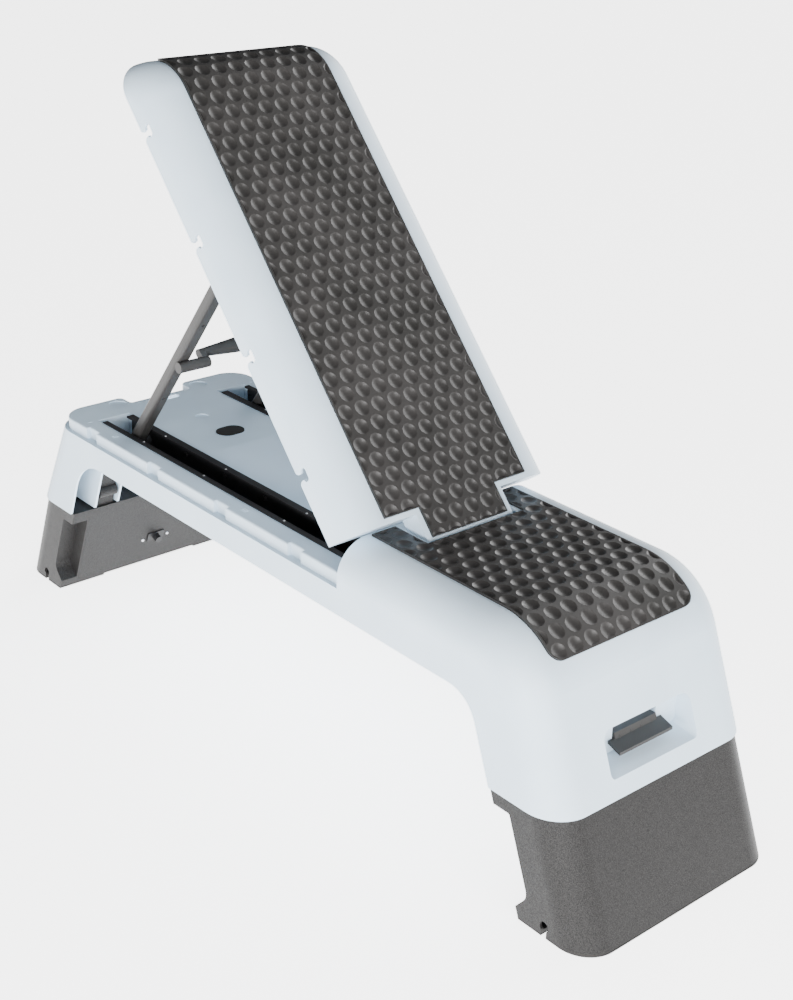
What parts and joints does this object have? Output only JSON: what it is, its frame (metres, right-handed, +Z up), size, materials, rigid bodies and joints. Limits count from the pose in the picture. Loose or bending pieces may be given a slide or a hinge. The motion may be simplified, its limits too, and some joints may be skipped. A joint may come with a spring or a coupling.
{
  "type": "adjustable step deck",
  "caption": "Adjustable fitness step deck with a dimpled seat mat, a hinged backrest on a sliding prop, and end legs that fold under it, released by finger levers.",
  "frame": {"origin": "on the floor under the middle of the overall box", "axes": "+X along the deck toward the seat end, +Y to the left side, +Z up"},
  "size_m": [1.2658, 0.34, 0.869],
  "materials": {
    "shell_plastic": "fine satin grain",
    "leg_plastic": "fine grain",
    "black_plastic": "satin",
    "lever_plastic": "satin",
    "mat_rubber": "dimpled",
    "foot_rubber": "matte",
    "prop_metal": "satin black",
    "steel": "plain"
  },
  "bodies": {
    "base": {"base_shell": "shell_plastic", "front_pad": "mat_rubber", "track_left": "black_plastic", "track_right": "black_plastic", "deck_bumper": "foot_rubber", "backrest_hinge_rod": "steel", "front_leg_axles": "steel", "rear_leg_axles": "steel", "front_lever_pin": "steel", "rear_lever_pin": "steel", "front_lever_spring": "steel", "rear_lever_spring": "steel"},
    "backrest": {"backrest_shell": "shell_plastic", "backrest_pad": "mat_rubber", "support_bracket_left": "black_plastic", "support_bracket_right": "black_plastic", "support_rod": "steel"},
    "prop": {"strut_left": "prop_metal", "strut_right": "prop_metal", "cross_handle": "prop_metal", "strut_foot_left": "black_plastic", "strut_foot_right": "black_plastic"},
    "front_leg": {"front_leg_shell": "leg_plastic", "front_leg_panel": "leg_plastic", "front_leg_catch": "black_plastic", "front_leg_feet": "foot_rubber"},
    "rear_leg": {"rear_leg_shell": "leg_plastic", "rear_leg_panel": "leg_plastic", "rear_leg_catch": "black_plastic", "rear_leg_feet": "foot_rubber"},
    "front_lever": {"front_lever": "lever_plastic", "front_latch": "steel"},
    "rear_lever": {"rear_lever": "lever_plastic", "rear_latch": "steel"}
  },
  "joints": [
    {"name": "backrest_hinge", "type": "hinge", "parent": "base", "child": "backrest", "pos_m": [0.234, 0, 0.3283], "axis": [0, 1, 0], "range_deg": [-2.5, 12]},
    {"name": "prop_swing", "type": "hinge", "parent": "backrest", "child": "prop", "pos_m": [-0.08164, 0, 0.6698], "axis": [0, 1, 0], "range_deg": [-25.6, 5.6]},
    {"name": "front_leg_fold", "type": "hinge", "parent": "base", "child": "front_leg", "pos_m": [0.46034, 0, 0.23], "axis": [0, 1, 0], "range_deg": [0, 110.8]},
    {"name": "rear_leg_fold", "type": "hinge", "parent": "base", "child": "rear_leg", "pos_m": [-0.46034, 0, 0.23], "axis": [0, -1, 0], "range_deg": [0, 110.8]},
    {"name": "front_lever_lift", "type": "hinge", "parent": "base", "child": "front_lever", "pos_m": [0.50277, 0, 0.199], "axis": [0, -1, 0], "range_deg": [0, 10], "stiffness_Nm_per_rad": 0.6, "springref_deg": -17.19},
    {"name": "rear_lever_lift", "type": "hinge", "parent": "base", "child": "rear_lever", "pos_m": [-0.49714, 0, 0.199], "axis": [0, 1, 0], "range_deg": [0, 10], "stiffness_Nm_per_rad": 0.6, "springref_deg": -17.19}
  ],
  "couplings": [
    {"joint": "prop_swing", "follows": "backrest_hinge", "ratio": -2.11}
  ]
}
